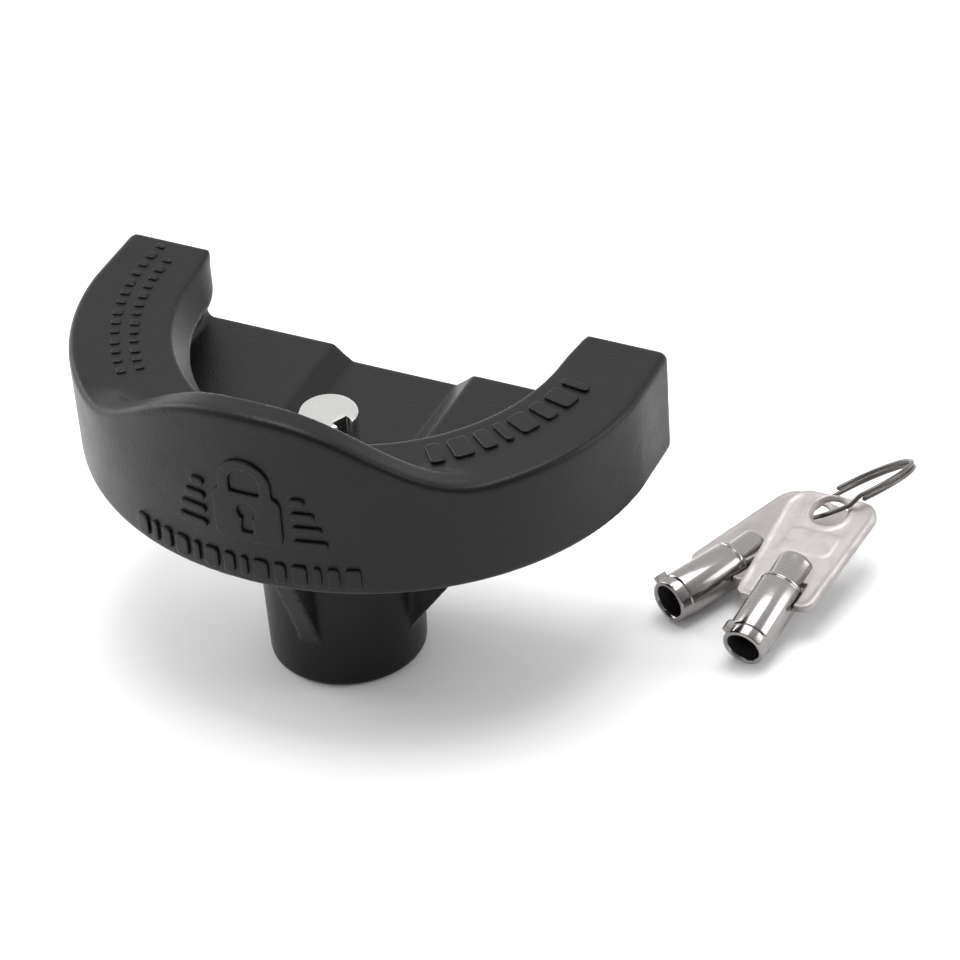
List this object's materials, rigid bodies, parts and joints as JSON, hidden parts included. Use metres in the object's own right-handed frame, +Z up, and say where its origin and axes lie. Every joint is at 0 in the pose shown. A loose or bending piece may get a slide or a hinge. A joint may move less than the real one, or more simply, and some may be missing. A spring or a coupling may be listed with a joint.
{
  "type": "trailer coupler lock",
  "caption": "Horseshoe-shaped cast cradle with a raised front shield, a key-operated locking pin that rises from its plate, and tubular keys on a ring.",
  "frame": {"origin": "on the plunger's axis, at the flat end of the key post, level with the mouth of the boss", "axes": "+X to the right arm, +Y to the open end of the horseshoe, +Z up, the way the locking pin points"},
  "size_m": [0.1595, 0.1232, 0.0856],
  "materials": {
    "black_coated_casting": "satin black powder coat on a zinc die casting",
    "turned_steel": "turned and hardened steel, fine lathe marks",
    "zinc_plated_steel": "bright zinc plate",
    "nickel_plate": "satin nickel plate on brass",
    "key_nickel": "polished nickel plate, lightly handled",
    "spring_steel": "drawn spring wire",
    "brass": "turned brass",
    "rubber": "matt nitrile rubber"
  },
  "bodies": {
    "casting": {"lock_body": "black_coated_casting", "guide_screw": "zinc_plated_steel", "return_spring": "spring_steel"},
    "plunger": {"lock_shell": "nickel_plate", "locking_pin": "turned_steel", "carrier_screw_1": "zinc_plated_steel", "carrier_screw_2": "zinc_plated_steel", "dust_seal": "rubber", "driver_block": "brass", "block_pin": "turned_steel", "driver_pin_1": "brass", "driver_pin_2": "brass", "driver_pin_3": "brass", "driver_pin_4": "brass", "driver_pin_5": "brass", "driver_pin_6": "brass", "driver_pin_7": "brass", "driver_spring_1": "spring_steel", "driver_spring_2": "spring_steel", "driver_spring_3": "spring_steel", "driver_spring_4": "spring_steel", "driver_spring_5": "spring_steel", "driver_spring_6": "spring_steel", "driver_spring_7": "spring_steel"},
    "spindle_group": {"spindle": "nickel_plate", "latch_cam": "zinc_plated_steel", "key_pin_1": "brass", "key_pin_2": "brass", "key_pin_3": "brass", "key_pin_4": "brass", "key_pin_5": "brass", "key_pin_6": "brass", "key_pin_7": "brass"},
    "bolt": {"latch_bolt": "zinc_plated_steel"},
    "ring": {"key_ring": "spring_steel"},
    "key_a": {"key_a_barrel": "key_nickel", "key_a_bow": "key_nickel"},
    "key_b": {"key_b_barrel": "key_nickel", "key_b_bow": "key_nickel"}
  },
  "joints": [
    {"name": "plunger_slide", "type": "slide", "parent": "casting", "child": "plunger", "axis": [0, 0, -1], "range_m": [0, 0.0145], "deforming": ["return_spring"]},
    {"name": "spindle_turn", "type": "hinge", "parent": "plunger", "child": "spindle_group", "pos_m": [0, 0, 0.01], "axis": [0, 0, 1], "range_deg": [0, 90]},
    {"name": "bolt_draw", "type": "slide", "parent": "plunger", "child": "bolt", "axis": [1, 0, 0], "range_m": [0, 0.00361]},
    {"name": "keys_lift", "type": "slide", "parent": "casting", "child": "ring", "axis": [0.8, 0, 0.6], "range_m": [0, 0.15]},
    {"name": "key_a_swing", "type": "hinge", "parent": "ring", "child": "key_a", "pos_m": [0.08297, 0.06114, 0.01222], "axis": [-1, 0, 0], "range_deg": [0, 20]},
    {"name": "key_b_swing", "type": "hinge", "parent": "ring", "child": "key_b", "pos_m": [0.07684, 0.06593, 0.00534], "axis": [0, 0, -1], "range_deg": [0, 20]}
  ],
  "couplings": [
    {"joint": "bolt_draw", "follows": "spindle_turn", "m_per_rad": 0.0022918}
  ]
}
